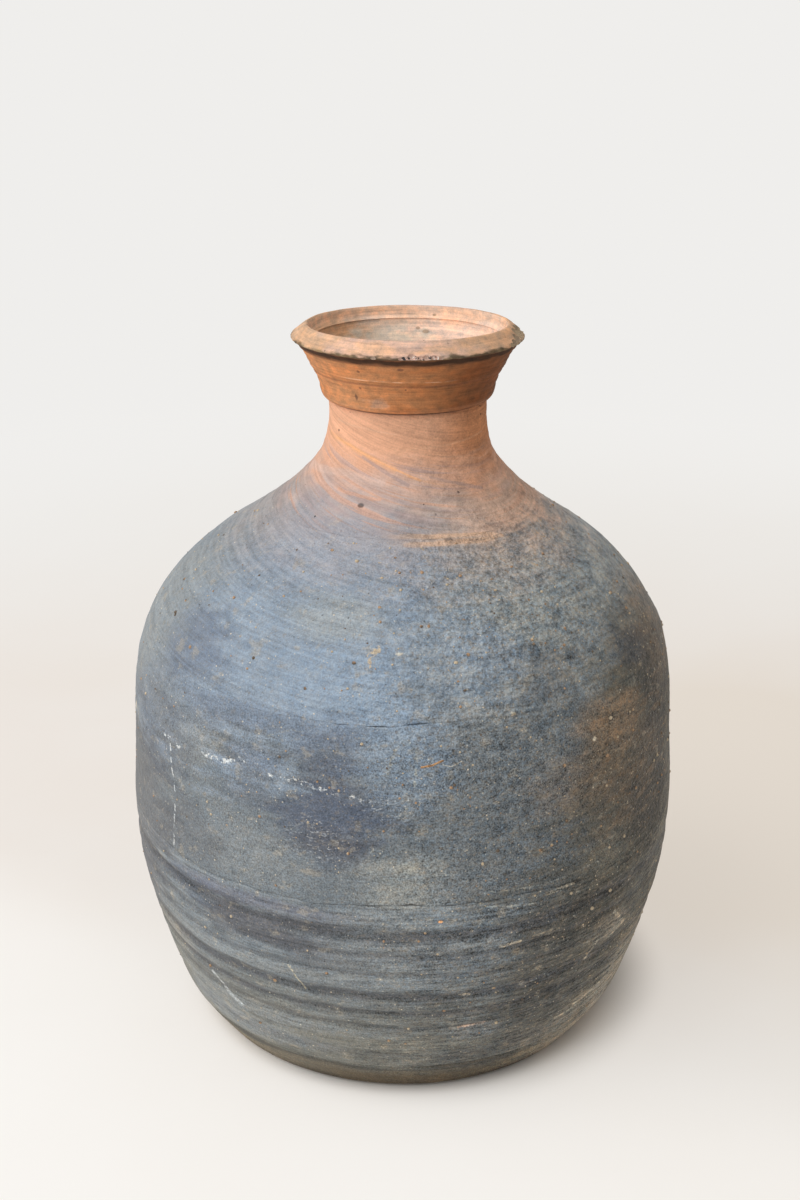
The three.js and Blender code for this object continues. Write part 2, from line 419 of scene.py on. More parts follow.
# %% Press and roughen
NECK_LEAN, MOUTH_TILT = 2.6, math.tan(math.radians(1.5))
SKIN = 2.5
SEAMS = (0, FOOT_SEAM, BELLY_SEAM, SHOULDER_SEAM, NECK_SEAM, COLLAR_SEAM, LIP_SEAM)


def place_of(point):
    """Azimuth in degrees with height and radius in mm."""
    azimuth = math.degrees(math.atan2(point.x, -point.y))
    return azimuth, point.z / MM, math.hypot(point.x, point.y) / MM


def values_on(piece, value_of):
    """The value at each point of a function of azimuth, height and radius."""
    return [value_of(*place_of(vertex.co)) for vertex in piece.data.vertices]


def paint(piece, weights):
    """A vertex group that holds a weight for each point."""
    group = piece.vertex_groups.new(name="hand")
    for index, weight in enumerate(weights):
        if weight > 0:
            group.add([index], weight, "REPLACE")
    return group


def apply_displace(piece, group, strength, **settings):
    """Adds a Displace modifier for a painted group, applies it and clears the group."""
    bpy.context.view_layer.objects.active = piece
    push = piece.modifiers.new("push", "DISPLACE")
    push.vertex_group = group.name
    push.strength = strength * MM
    for name, value in settings.items():
        setattr(push, name, value)
    bpy.ops.object.modifier_apply(modifier=push.name)
    piece.vertex_groups.clear()


def press(piece, distance_of, reach, direction="NORMAL"):
    """Moves points by a signed distance in mm, of at most reach, given by their place."""
    shares = [distance / reach for distance in values_on(piece, distance_of)]
    for sign in (1, -1):
        weights = [sign * share for share in shares]
        if max(weights) > 0:
            apply_displace(
                piece, paint(piece, weights), sign * reach, mid_level=0, direction=direction)


def outside(height, radius):
    """Whether a point lies on the outer face."""
    line = body_line if height <= COLLAR_SEAM else collar_line
    return radius > line(height) - SKIN


def on_skin(azimuth, height, radius):
    """1 on the outer face, fading out beside the seams so that sections still meet."""
    if not outside(height, radius):
        return 0
    return ease(min(abs(height - seam) for seam in SEAMS), 0.2, 5)


def roughen(piece, size, depth, seed, weights):
    """Raises and sinks the skin by a cloud pattern whose lumps have a size (x, y, z) in mm."""
    cloud = bpy.data.textures.new("clay_cloud", "CLOUDS")
    cloud.noise_scale = 1
    cloud.noise_depth = 2
    bpy.ops.object.empty_add(location=(0.37 * seed, 0.11 * seed, 0.23 * seed))
    helper = bpy.context.object
    helper.scale = [side * MM for side in size]
    bpy.context.view_layer.update()
    apply_displace(
        piece, paint(piece, weights), depth,
        mid_level=0.66, texture=cloud, texture_coords="OBJECT", texture_coords_object=helper)
    bpy.data.objects.remove(helper)


# %% [markdown]
# The grooves fade where the upper wall was wiped smooth. An open joint wanders, so the clay on both
# sides of it is first moved up and down together, and then its edges are pressed in.

# %% Grooves, wandering joints and cracks
def groove_distance(azimuth, height, radius):
    skin = on_skin(azimuth, height, radius)
    share = skin and (0.22 - groove_share(azimuth, height)) * finger_pressure(azimuth)
    return share * GROOVE_DEPTH * skin


def foot_groove_distance(azimuth, height, radius):
    """The groove that a wire or stick cut above the foot."""
    if abs(height - FOOT_SEAM) > 5 or not outside(height, radius):
        return 0
    return -0.2 * ease(abs(height - FOOT_SEAM - 0.5 * wave(azimuth, 3, 1.7)), 3.6, 0)


def wander_distance(azimuth, height, radius):
    near = [seam for seam in CRACKS if abs(height - seam) < 12]
    return sum(ease(abs(height - seam), 12, 1) * joint_drift(azimuth, seam) for seam in near)


def crack_distance(azimuth, height, radius):
    near = [seam for seam in CRACKS if abs(height - seam) < 3]
    if not near or not outside(height, radius):
        return 0
    away = abs(height - near[0] - joint_drift(azimuth, near[0]))
    return -0.4 * ease(away, 0.45, 0.05) * max(0, joint_gape(azimuth, near[0]))


press(lower_wall, groove_distance, 1.5)
for section in (foot, lower_wall):
    press(section, foot_groove_distance, 1)
for section in (lower_wall, belly_wall, shoulder):
    press(section, wander_distance, 2, "Z")
    press(section, crack_distance, 1)

# %% Rings and undercut of the collar
RINGS = (
    (357.5, 1.6, -0.18), (362.4, 1.8, -0.3), (366.0, 0.9, -0.35), (368.3, 0.6, 0.25),
    (373, 1.5, -0.22),
)


def ring_distance(azimuth, height, radius):
    """Wheel lines: (height, half width, depth) in RINGS."""
    level = height + 0.35 * wave(azimuth, 1, 2.0) + 0.15 * wave(azimuth, 4)
    depth = sum(depth * ease(abs(level - middle), half, 0) for middle, half, depth in RINGS)
    return depth * on_skin(azimuth, height, radius)


def nick_distance(azimuth, height, radius):
    """The torn lower edge of the collar, to the right of the front."""
    if height > 353 or radius < 43:
        return 0
    tear = 0.5 + 0.5 * wave(azimuth, 61) * wave(azimuth, 37, 0.6)
    return 1.1 * tear * ease(abs(azimuth - 16), 11, 7) * ease(height, 352.6, 350.6)


def undercut_distance(azimuth, height, radius):
    """The neck draws in just below the collar."""
    return -0.7 * ease(height, 347, 350) if outside(height, radius) else 0


press(collar, ring_distance, 0.5)
press(collar, nick_distance, 1.2, "Z")
press(neck, undercut_distance, 1)

# %% Wobble, drag and grain of the skin
WIDEST = 149.8


def lip_skin(azimuth, height, radius):
    return ease(radius, 50, 51)


def lip_edge(azimuth, height, radius):
    """The lower edge of the lip, which is the most worn."""
    return ease(abs(height - 380.8), 1.7, 0.5) * ease(radius, 56.5, 58.5)


def past_widest(azimuth, height, radius):
    return -max(0, radius - WIDEST)


for section in (foot, lower_wall, belly_wall, shoulder, neck):
    skin = values_on(section, on_skin)
    roughen(section, (75, 75, 50), 0.9, 1, skin)
    roughen(section, (40, 40, 4.5), 0.45, 2, skin)
    roughen(section, (6, 6, 4), 0.35, 3, skin)
roughen(collar, (30, 30, 2.2), 0.35, 4, values_on(collar, on_skin))
roughen(lip, (9, 9, 7), 0.4, 5, values_on(lip, lip_skin))
roughen(lip, (3, 3, 2), 0.7, 6, values_on(lip, lip_edge))
for section in (lower_wall, belly_wall):
    press(section, past_widest, 1)
print("skin roughened")

# %% Lean and tilt
def lean_at(height):
    return NECK_LEAN * ease(height, SHOULDER_SEAM, COLLAR_SEAM)


def tilt_at(azimuth, height, radius):
    share = max(0, (height - LIP_SEAM) / (CREST - LIP_SEAM))
    return radius * math.cos(math.radians(azimuth)) * share * MOUTH_TILT


for section in (shoulder, neck, collar, lip):
    press(section, lambda azimuth, height, radius: lean_at(height), NECK_LEAN, "X")
for section in (collar, lip):
    press(section, tilt_at, 2, "Z")

# %% [markdown]
# ## Finishes
# A material is a sum of layers, as the surface is: clay, smoke, wear, grit. Each layer is a mask
# between 0 and 1 that mixes a colour in. To write the masks as plain arithmetic, a small class
# wraps a node's socket and adds a Math node for each operator. A second class adds every other
# node.

# %% Shader arithmetic
class Signal:
    """A value that runs through a material. Arithmetic on it adds Math nodes."""

    def __init__(self, graph, node, output=0):
        self.graph, self.source, self.socket = graph, node, node.outputs[output]

    def maths(self, operation, *operands):
        return self.graph.node("Math", {"operation": operation}, operands)

    def __add__(self, other):
        return self.maths("ADD", self, other)

    def __sub__(self, other):
        return self.maths("SUBTRACT", self, other)

    def __rsub__(self, other):
        return self.maths("SUBTRACT", other, self)

    def __mul__(self, other):
        return self.maths("MULTIPLY", self, other)

    def __truediv__(self, other):
        return self.maths("DIVIDE", self, other)

    def __abs__(self):
        return self.maths("ABSOLUTE", self)

    __radd__, __rmul__ = __add__, __mul__

    def output(self, name):
        """Another output of the same node."""
        return Signal(self.graph, self.source, name)


# %% Nodes
class Graph:
    """The nodes of a material or of the world."""

    def __init__(self, tree):
        self.tree = tree

    def node(self, kind, settings=None, inputs=(), output=0):
        """Adds any node: its settings, the values or links of its sockets, the output wanted."""
        made = self.tree.nodes.new("ShaderNode" + kind)
        for name, value in (settings or {}).items():
            setattr(made, name, value)
        for key, value in inputs.items() if isinstance(inputs, dict) else enumerate(inputs):
            if isinstance(value, Signal):
                self.tree.links.new(value.socket, made.inputs[key])
            else:
                made.inputs[key].default_value = value
        return Signal(self, made, output)

    def vector(self, operation, *operands, output=0):
        return self.node("VectorMath", {"operation": operation}, operands, output)

    def step(self, value, low, high):
        """0 at low, 1 at high, soft between."""
        return self.node(
            "MapRange", {"interpolation_type": "SMOOTHSTEP"}, {0: value, 1: low, 2: high})

    def mix(self, under, over, mask):
        """Lays one colour over another through a mask."""
        colours = [(*c, 1) if isinstance(c, tuple) else c for c in (under, over)]
        return self.node(
            "Mix", {"data_type": "RGBA"}, {0: mask, 6: colours[0], 7: colours[1]}, output=2)

    def scaled(self, colour, brightness):
        return self.node("VectorMath", {"operation": "SCALE"}, {0: colour, "Scale": brightness})

    def length(self, arrow):
        return self.vector("LENGTH", arrow, output="Value")

    def seen(self):
        """1 for rays from the camera and from reflections, 0 for those that only carry light."""
        rays = self.node("LightPath", output="Is Camera Ray")
        return rays.maths("MAXIMUM", rays, rays.output("Is Glossy Ray"))

    def show(self, shader, end):
        """Plugs a shader into the node that a tree ends in."""
        self.tree.links.new(shader.socket, self.tree.nodes[end].inputs["Surface"])


# %% [markdown]
# A finish keeps the colour that has been laid so far, and knows the places that its masks are
# written in: height, azimuth about the leaning axis, and patterns that are measured in
# millimetres. Noise swings only a little about a half, so `sway` turns it into a swing about
# nothing.

# %% Finish
class Finish(Graph):
    """One material, for a section between two heights in mm. Its colour starts plain."""

    def __init__(self, name, colour, low=0, high=400):
        self.colour, self.low, self.high = colour, low, high
        self.brightness, self.warmth = 1, None
        self.material = bpy.data.materials.new(name)
        self.material.use_nodes = True
        super().__init__(self.material.node_tree)
        self.place = self.node("TexCoord", output="Object")
        self.x, self.y, z = (self.node("SeparateXYZ", None, [self.place], axis) for axis in "XYZ")
        self.height = z * (1 / MM)
        aside = self.x - self.rise(SHOULDER_SEAM, COLLAR_SEAM) * (NECK_LEAN * MM)
        self.azimuth = aside.maths("ARCTAN2", aside, self.y * -1) * math.degrees(1)
        self.unrolled = self.node("CombineXYZ", None, [self.azimuth, self.height])

    def lay(self, over, mask):
        """Lays one more colour over the finish."""
        self.colour = self.mix(self.colour, over, mask)

    def stretched(self, size, seed):
        """The place on the jar, counted in cells of a size (x, y, z) in mm."""
        cells = [1 / (side * MM) for side in size]
        return self.vector("MULTIPLY_ADD", self.place, cells, (3.7 * seed, 1.9 * seed, 5.3 * seed))

    def cloud(self, size, seed, detail=2.0):
        """Noise from 0 to 1 whose lumps have a size (x, y, z) in mm."""
        return self.node("TexNoise", None, {
            "Vector": self.stretched(size, seed), "Scale": 1.0, "Detail": detail})

    def sway(self, size, seed, detail=2.0):
        """Noise that swings about nothing, by a fifth or so to either side."""
        return self.cloud(size, seed, detail) - 0.5

    def blotches(self, size, seed, low, high, detail=2.0):
        """1 where the swing of the noise is past high, 0 where it is short of low."""
        return self.step(self.sway(size, seed, detail), low, high)

    def specks(self, spacing, radius, share, seed):
        """Round specks of a radius in mm, at random places in a share of the cells of a grid."""
        cells = self.node("TexVoronoi", None, {
            "Vector": self.stretched((spacing, spacing, spacing), seed), "Scale": 1.0})
        chance = self.node("SeparateColor", None, [cells.output("Color")])
        size = (chance.output("Green") * 0.7 + 0.5) * (radius / spacing)
        return self.step(cells / size, 1.15, 0.75) * self.step(chance, share + 0.01, share - 0.01)

    def facing(self, azimuth):
        """1 on the side at an azimuth, 0 a quarter turn from it and -1 behind."""
        return wave(self.azimuth, 1, math.radians(90 - azimuth))

    def side(self, azimuth, low, high):
        """A soft step by how squarely the wall faces an azimuth."""
        return self.step(self.facing(azimuth), low, high)

    def around(self, azimuth, none, full):
        """1 within some degrees of an azimuth, 0 beyond others."""
        return self.step(abs(self.azimuth - azimuth), none, full)

    def rise(self, low, high):
        """A soft step up the wall, between two heights."""
        return self.step(self.height, low, high)

    def away_from(self, place):
        """The distance from a place, in metres."""
        return self.length(self.vector("SUBTRACT", self.place, place))

    def reaches(self, low, high):
        """Whether a mark between two heights shows on this section."""
        return low < self.high and high > self.low

    def patch(self, azimuth, height, half_width, half_height, soft=0.7, torn=None):
        """An oval stain: half its width in degrees, half its height in mm, its edge torn."""
        scale = (1 / half_width, 1 / half_height, 0)
        centre = (-azimuth / half_width, -height / half_height, 0)
        distance = self.length(self.vector("MULTIPLY_ADD", self.unrolled, scale, centre))
        if torn is not None:
            distance = distance + torn
        return self.step(distance, 1.0 + soft / 2, 1.0 - soft / 2)

    def stroke(self, points, half_width, radius=150, torn=None):
        """A line through (azimuth, height) points, its half width in mm, on a wall of a radius."""
        across = math.radians(radius)
        flat = self.vector("MULTIPLY", self.unrolled, (across, 1, 0))
        nearest = None
        for (a0, h0), (a1, h1) in zip(points, points[1:]):
            along = Vector(((a1 - a0) * across, h1 - h0, 0))
            start = self.vector("SUBTRACT", flat, (a0 * across, h0, 0))
            share = self.vector("DOT_PRODUCT", start, along / along.length_squared, output="Value")
            nearby = self.scaled(along, self.node("Clamp", None, [share]))
            gap = self.length(self.vector("SUBTRACT", start, nearby))
            nearest = gap if nearest is None else nearest.maths("MINIMUM", nearest, gap)
        if torn is not None:
            nearest = nearest + torn
        return self.step(nearest, half_width * 1.35, half_width * 0.55)

    def fill(self, roughness, relief=None, specular=0.4):
        """Plugs the layers into the surface shader. Relief is a height in mm."""
        shader = self.tree.nodes["Principled BSDF"]
        shader.inputs["Specular IOR Level"].default_value = specular
        colour = self.scaled(self.colour, self.brightness)
        if self.warmth is not None:
            tint = self.node("CombineXYZ", None, [self.warmth + 1, 1, 1 - self.warmth])
            colour = self.vector("MULTIPLY", colour, tint)
        self.tree.links.new(colour.socket, shader.inputs["Base Color"])
        if isinstance(roughness, Signal):
            self.tree.links.new(roughness.socket, shader.inputs["Roughness"])
        else:
            shader.inputs["Roughness"].default_value = roughness
        if relief is not None:
            bump = self.node("Bump", None, {"Strength": 1.0, "Distance": MM, "Height": relief})
            self.tree.links.new(bump.socket, shader.inputs["Normal"])
        return self.material


# %% [markdown]
# ## Colours of the clay
# Smoke laid blue-grey carbon on most of the body. Where the fire licked the right side it is olive
# to black, with rust where the iron in the clay shows, and painted shade darkens that side further.
# The upper dome has a pale bloom with a painted sheen laid over it, and the pale blue ovals at the
# front are painted sheen.

# %% Named colours
SMOKE_BLUE = (0.156, 0.180, 0.198)
EARTH_GREY = (0.172, 0.168, 0.140)
OLIVE_BLACK = (0.096, 0.087, 0.064)
SLATE = (0.100, 0.102, 0.094)
DARK_OLIVE = (0.042, 0.037, 0.027)
BLOOM_AND_SHEEN = (0.212, 0.268, 0.338)
BLOOM_AND_SHEEN_RIGHT = (0.260, 0.285, 0.290)
PALE_BLUE_SHEEN = (0.238, 0.306, 0.390)
PALE_GREY = (0.230, 0.250, 0.258)
INDIGO = (0.080, 0.100, 0.148)
VIOLET = (0.120, 0.120, 0.158)
INK = (0.085, 0.088, 0.100)
RUST = (0.270, 0.190, 0.120)
DARK_RUST = (0.150, 0.105, 0.065)
TAN = (0.340, 0.300, 0.235)
DUST = (0.480, 0.440, 0.360)
CREAM = (0.680, 0.590, 0.450)
SALT = (0.620, 0.640, 0.640)
CHALK = (0.340, 0.350, 0.325)
SOOT = (0.022, 0.020, 0.020)
WARM_GRAIN = (0.215, 0.175, 0.130)
BROWN_FOOT = (0.178, 0.148, 0.103)
DUSTY_PINK = (0.440, 0.345, 0.300)
PINK_SMEAR = (0.580, 0.390, 0.310)
TERRACOTTA = (0.695, 0.375, 0.235)
DEEP_RED_AND_SHADE = (0.560, 0.240, 0.110)
BRIGHT_ORANGE = (0.800, 0.410, 0.190)
PEACH = (0.610, 0.400, 0.305)

# %% [markdown]
# The stains that have a place are ovals, roughly from the bottom of the jar up, and a later one
# lies over an earlier one: colour, strength, azimuth and height of the middle, half the width in
# degrees and half the height in mm. A few of them are painted light, sheen or shade, and say so.

# %% Stains
STAINS_AND_PAINTED_LIGHT = [
    # Partly pale scuffs and partly painted light that the bright floor throws onto the low right.
    (TAN, 0.60, 64, 58, 12, 30),
    (TAN, 0.35, 45, 28, 18, 14),
    (TAN, 0.65, 62, 36, 13, 18),
    (TAN, 0.50, 46, 41, 7, 8),
    (PALE_GREY, 0.75, -37, 35, 20, 8),
    (PALE_GREY, 0.60, -32, 50, 26, 5),
    (PALE_GREY, 0.55, 15, 50, 6, 5),
    (PALE_GREY, 0.45, -24, 87, 34, 4),
    (TAN, 0.55, 47, 91, 6, 8),
    (INK, 0.85, -30, 108, 15, 7),
    (INK, 0.40, -15, 100, 8, 5),
    (INK, 0.60, -26, 117, 16, 5),
    (INDIGO, 0.45, -48, 119, 9, 8),
    (VIOLET, 0.50, -31, 125, 20, 5),
    (PALE_GREY, 0.50, -3, 110, 11, 20),
    (PALE_GREY, 0.60, 15, 110, 6, 6),
    (PALE_GREY, 0.75, 2, 144, 13, 13),
    (CHALK, 0.40, 0, 139, 7, 8),
    (EARTH_GREY, 0.50, 44, 138, 7, 9),
    (DARK_OLIVE, 0.45, 37, 113, 13, 17),
    (DARK_OLIVE, 0.30, 30, 52, 8, 24),
    (DARK_OLIVE, 0.35, 31, 82, 9, 24),
    (TAN, 0.30, -60, 74, 8, 9),
    (PALE_GREY, 0.45, -47, 40, 9, 7),
    (INK, 0.50, -76, 96, 14, 24),
    (DARK_OLIVE, 0.25, 46, 112, 7, 13),
    # Partly fire marks and partly painted shade along the far right edge.
    (DARK_OLIVE, 0.90, 61, 156, 11, 34),
    (DARK_OLIVE, 0.90, 68, 212, 14, 34),
    (INK, 0.60, -74, 138, 19, 58),
    (INDIGO, 0.80, -14, 178, 11, 22),
    (INK, 0.55, -14, 166, 8, 9),
    (PALE_GREY, 0.55, -30, 149, 12, 17),
    (INK, 0.35, -46, 146, 9, 14),
    (CHALK, 0.35, 0, 153, 9, 8),
    (INDIGO, 0.30, -30, 184, 7, 9),
    (INDIGO, 0.30, -46, 213, 8, 8),
    (EARTH_GREY, 0.35, -52, 207, 14, 17),
    (SOOT, 0.35, 61, 159, 8, 17),
    (DARK_RUST, 0.42, 50, 188, 13, 26),
    (SOOT, 0.30, 68, 214, 12, 26),
    (RUST, 0.30, 35, 184, 10, 14),
    (RUST, 0.80, 47, 214, 10, 10),
    (RUST, 0.50, 46, 199, 8, 9),
    (INK, 0.40, 60, 239, 10, 9),
    (INK, 0.35, 31, 241, 9, 8),
    (DARK_RUST, 0.60, 76, 234, 11, 28),
    # Painted sheen: pale blue ovals on the front of the dome stand for a soft reflection.
    (PALE_BLUE_SHEEN, 0.55, 1, 206, 9, 20),
    (PALE_BLUE_SHEEN, 0.70, 1, 236, 11, 16),
    (PALE_BLUE_SHEEN, 0.70, -14, 238, 13, 17),
    (PALE_BLUE_SHEEN, 0.45, 15, 256, 10, 13),
    (INDIGO, 0.45, -15, 213, 7, 8),
    (INDIGO, 0.35, -34, 222, 24, 6),
    (INDIGO, 0.35, -30, 200, 7, 8),
    (PALE_GREY, 0.45, -45, 199, 7, 8),
    (INDIGO, 0.30, -60, 196, 12, 22),
    (PALE_GREY, 0.70, 15, 244, 12, 24),
    (INDIGO, 0.50, -53, 243, 12, 14),
    (PALE_GREY, 0.75, -78, 250, 15, 34),
    (CHALK, 0.40, -19, 266, 12, 8),
    # Painted sheen: one more pale blue oval.
    (PALE_BLUE_SHEEN, 0.45, 16, 250, 10, 18),
    # A pale bloom with a painted sheen over it, on the right of the dome.
    (BLOOM_AND_SHEEN_RIGHT, 0.50, 44, 240, 8, 17),
    (BLOOM_AND_SHEEN_RIGHT, 0.50, 66, 264, 14, 10),
    (BLOOM_AND_SHEEN_RIGHT, 0.60, 40, 270, 22, 14),
]


# %% Smoked clay
def smoked_clay(name, low, high):
    """The common layers of the smoked body: the finish with its colour, roughness and relief."""
    f = Finish(name, SMOKE_BLUE, low, high)
    drift, drag = f.sway((60, 60, 38), 1, 3.0), f.sway((34, 34, 6), 2, 4.0)
    lines, sand = f.sway((16, 16, 1.4), 3, 3.0), f.sway((0.8, 0.8, 0.8), 4)
    peel, mottle = f.sway((3.0, 3.0, 1.9), 5), f.sway((9, 9, 6), 6, 3.0)
    right = f.side(75, -0.1, 0.8)
    torn = 1.3 * drift + 1.5 * drag + 0.6 * mottle
    # Olive-black where the fire licked the right side, with painted shade on the side away from the
    # window.
    bound = f.facing(100) + 0.6 * torn - 0.003 * (f.height - 90)
    burnt_and_shaded = f.step(bound, -0.05, 0.28) * (1 - f.rise(236, 276))
    f.lay(EARTH_GREY, f.step(f.height + 60 * drag, 108, 30) * 0.85)
    # A pale bloom with a painted sheen over it: the upper dome is laid lighter and bluer.
    bloom_and_sheen = f.step(f.height + 60 * torn - 35 * f.facing(70), 190, 225)
    f.lay(f.mix(BLOOM_AND_SHEEN, BLOOM_AND_SHEEN_RIGHT, f.side(80, 0.1, 0.7)), bloom_and_sheen * 0.85)
    f.lay(EARTH_GREY, f.side(-95, 0.6, 1.0) * 0.4)
    f.lay(f.mix(SLATE, OLIVE_BLACK, f.side(100, 0.3, 0.62)), burnt_and_shaded * 0.92)
    for patch_colour, strength, azimuth, height, half_width, half_height in STAINS_AND_PAINTED_LIGHT:
        if f.reaches(height - 1.5 * half_height, height + 1.5 * half_height):
            mask = f.patch(azimuth, height, half_width, half_height, 0.9, torn)
            f.lay(patch_colour, mask * strength)
    if f.reaches(140, 230):
        fired = f.blotches((18, 18, 3.4), 10, 0.0, 0.13, 3.0) * f.around(57, 24, 8)
        f.lay(DARK_RUST, fired * f.step(abs(f.height - 184), 50, 25) * 0.75)
    f.brightness = 1 + 0.4 * drag + 0.3 * lines + (0.5 + 0.9 * right) * peel
    f.brightness = f.brightness + (0.5 + 1.3 * right) * mottle
    f.brightness = f.brightness + (2.1 + 1.5 * right) * sand * (1 - 0.5 * f.rise(205, 240))
    f.warmth = (0.15 + 0.25 * right) * mottle + (0.2 + 0.3 * right) * f.sway((1.9, 1.9, 1.6), 12)
    relief = (0.25 + 0.35 * right) * sand + (0.5 + 2.1 * right) * peel + 0.1 * lines
    if f.reaches(30, 130):
        groove = groove_share(f.azimuth, f.height + 9 * drag) * finger_pressure(f.azimuth)
        f.lay(INK, groove * (0.6 + 2.2 * lines))
        f.brightness = f.brightness + 0.17 + (1.3 + 1.6 * right) * lines - 0.42 * groove
    for seam in CRACKS:
        if f.reaches(seam - 1, seam + 1):
            away = abs(f.height - seam - joint_drift(f.azimuth, seam) + 4 * f.sway((3, 3, 3), 14))
            crack = f.step(away, 0.45, 0.08) * joint_gape(f.azimuth, seam)
            f.lay(SOOT, crack * 0.6)
    f.lay(WARM_GRAIN, f.blotches((1.7, 1.7, 1.2), 9, 0.05, 0.2) * (0.3 + 0.4 * right))
    pits, grit = f.specks(4.5, 0.45, 0.35, 7), f.specks(3.2, 0.42, 0.5, 8)
    dust = f.specks(2.0, 0.36, 0.3, 13)
    f.lay(SOOT, pits * 0.6)
    f.lay(TAN, f.blotches((8, 8, 6), 15, 0.1, 0.2, 3.0) * 0.4)
    f.lay(DUST, dust * (0.5 + 0.3 * right))
    f.lay(CREAM, grit * (0.6 + 1.5 * drift))
    roughness = 0.56 + 0.5 * drift + 0.4 * sand
    return f, roughness, relief + 0.15 * grit - 0.3 * pits


# %% [markdown]
# Single marks come on top: the line of dried salt that a full jar's sweat left at the left, with a
# run below it, faint chalky loops near the front, a torn orange fibre, and scrapes low down.

# %% Marks on the lower wall
f, roughness, relief = smoked_clay("smoked_lower_clay", FOOT_SEAM, BELLY_SEAM)
ragged = 2.5 * f.sway((2.4, 2.4, 1.2), 51)
broken = f.blotches((3.5, 3.5, 1.2), 52, -0.08, 0.06)
for mark, strength, half_width, points in [
    ((0.50, 0.45, 0.33), 0.9, 0.5, [(-23, 91), (-20, 76.5)]),
    (SALT, 0.55, 1.2, [(-45.5, 63), (-42, 54), (-38.5, 48)]),
    (SALT, 0.35, 2.2, [(-41.5, 53), (-39, 48)]),
    ((0.60, 0.43, 0.33), 0.85, 0.9, [(12, 53.5), (17.5, 54.7)]),
    (CREAM, 0.5, 1.1, [(48, 100), (53, 87), (48.5, 83)]),
    (CREAM, 0.55, 1.0, [(41.5, 77), (44, 86)]),
    (CREAM, 0.5, 1.2, [(42.5, 44), (51, 47)]),
    (CREAM, 0.4, 0.8, [(37, 39.5), (43.5, 41)]),
    (CREAM, 0.65, 1.1, [(19, 105), (23, 106.2)]),
    (CREAM, 0.40, 0.8, [(27, 107), (30, 107.6)]),
    (CREAM, 0.55, 1.0, [(28.5, 130), (35, 131.2)]),
    (CREAM, 0.60, 0.8, [(11.5, 77), (13.5, 76.5)]),
    (CHALK, 0.6, 0.5, [(14.5, 131), (20, 128.5), (26, 126.5)]),
]:
    worn = f.stroke(points, half_width, torn=ragged * 0.5) * (0.35 + 0.65 * broken)
    f.lay(mark, worn * strength)
f.lay(BRIGHT_ORANGE, f.patch(7, 124.5, 0.45, 0.8))
lower_finish = f.fill(roughness, relief)

# %% Marks on the belly
f, roughness, relief = smoked_clay("smoked_belly_clay", BELLY_SEAM, SHOULDER_SEAM)
ragged = 3 * f.sway((2.4, 2.4, 2.0), 51)
broken = f.blotches((2.2, 2.2, 1.8), 52, 0.0, 0.1)
clusters = f.blotches((8, 8, 8), 54, -0.12, 0.02)
scuffed = f.patch(-16.5, 166, 6, 12, 1.0) + f.patch(-2, 187, 6, 9, 1.0)
f.lay(SALT, scuffed * f.blotches((2.2, 2.2, 0.9), 53, 0.06, 0.18) * 0.4)
for strength, half_width, points in [
    (0.95, 1.3, [(-56, 192.5), (-53, 193.5), (-49.5, 192)]),
    (0.95, 1.2, [(-46, 193.5), (-41.5, 195.5), (-37, 195.5), (-33, 199), (-29.5, 197)]),
    (0.95, 1.1, [(-26.5, 196), (-19.5, 195), (-14.5, 192.5), (-9, 190), (-7, 188)]),
]:
    f.lay(SALT, f.stroke(points, half_width, torn=ragged) * broken * clusters * strength)
run = [(-53.5, 192), (-53, 178), (-51.5, 163), (-52, 144), (-52, 134)]
drip = f.stroke(run, 0.55, torn=ragged * 0.3)
f.lay(SALT, drip * f.blotches((3, 3, 3.2), 57, -0.03, 0.06) * 0.8)
for mark, strength, half_width, points in [
    (CHALK, 0.85, 0.8, [(-3, 202), (-2, 210.5), (-0.5, 218), (1, 218.5), (2.5, 213.5), (2.2, 197)]),
    (CHALK, 0.85, 0.7, [(1.5, 190), (0.5, 184), (0, 178)]),
    (CHALK, 0.75, 0.6, [(-5.5, 163.5), (-6.5, 158), (-6, 152)]),
    (CHALK, 0.85, 0.6, [(-3.5, 148), (-1, 149), (1.5, 150)]),
    (CHALK, 0.7, 0.6, [(-9.5, 151), (-7, 145.5), (-4, 141)]),
    (CHALK, 0.5, 0.35, [(-27.5, 214), (-22, 219.5), (-16, 220)]),
    (CHALK, 0.7, 0.5, [(15.5, 138), (27, 136), (41.5, 138)]),
]:
    worn = f.stroke(points, half_width, torn=ragged * 0.5) * (0.15 + 0.85 * broken)
    f.lay(mark, worn * strength)
fibre = f.stroke([(3.5, 206.3), (5.5, 207), (7.5, 209)], 0.5, torn=ragged * 0.2)
curl = f.stroke([(7.5, 207), (9, 205.8), (11, 208)], 0.25)
f.lay(CREAM, curl * 0.5)
f.lay((0.66, 0.34, 0.13), fibre * 0.9)
f.lay(CHALK, f.patch(0.9, 154, 1.8, 3.2, 0.9, ragged * 0.3) * 0.75)
for azimuth, height, half_width, half_height in [(40.5, 204.5, 0.5, 1.1), (-78, 186.5, 0.7, 3.4)]:
    f.lay(CREAM, f.patch(azimuth, height, half_width, half_height))
belly_finish = f.fill(roughness, relief + 0.4 * fibre)


# %% [markdown]
# Round the neck the smoke thins out. Grey gives way to smears of pink, drawn round by the wiping
# hand in long slanting strokes, and then to the red of the fired clay.

# %% Brushed strokes
DOME_RADIUS, NECK_RADIUS = 71, 48


def brushed(f, size, seed):
    """Streaks that fall to the right as they cross the front."""
    level = f.height + 13 * f.facing(55)
    round_jar, up = 1 / (size[0] * MM), 1 / size[1]
    slanting = f.node(
        "CombineXYZ", None, [f.x * round_jar, f.y * round_jar, level * up + 7.3 * seed])
    return f.node("TexNoise", None, {"Vector": slanting, "Scale": 1.0, "Detail": 3.0}) - 0.5


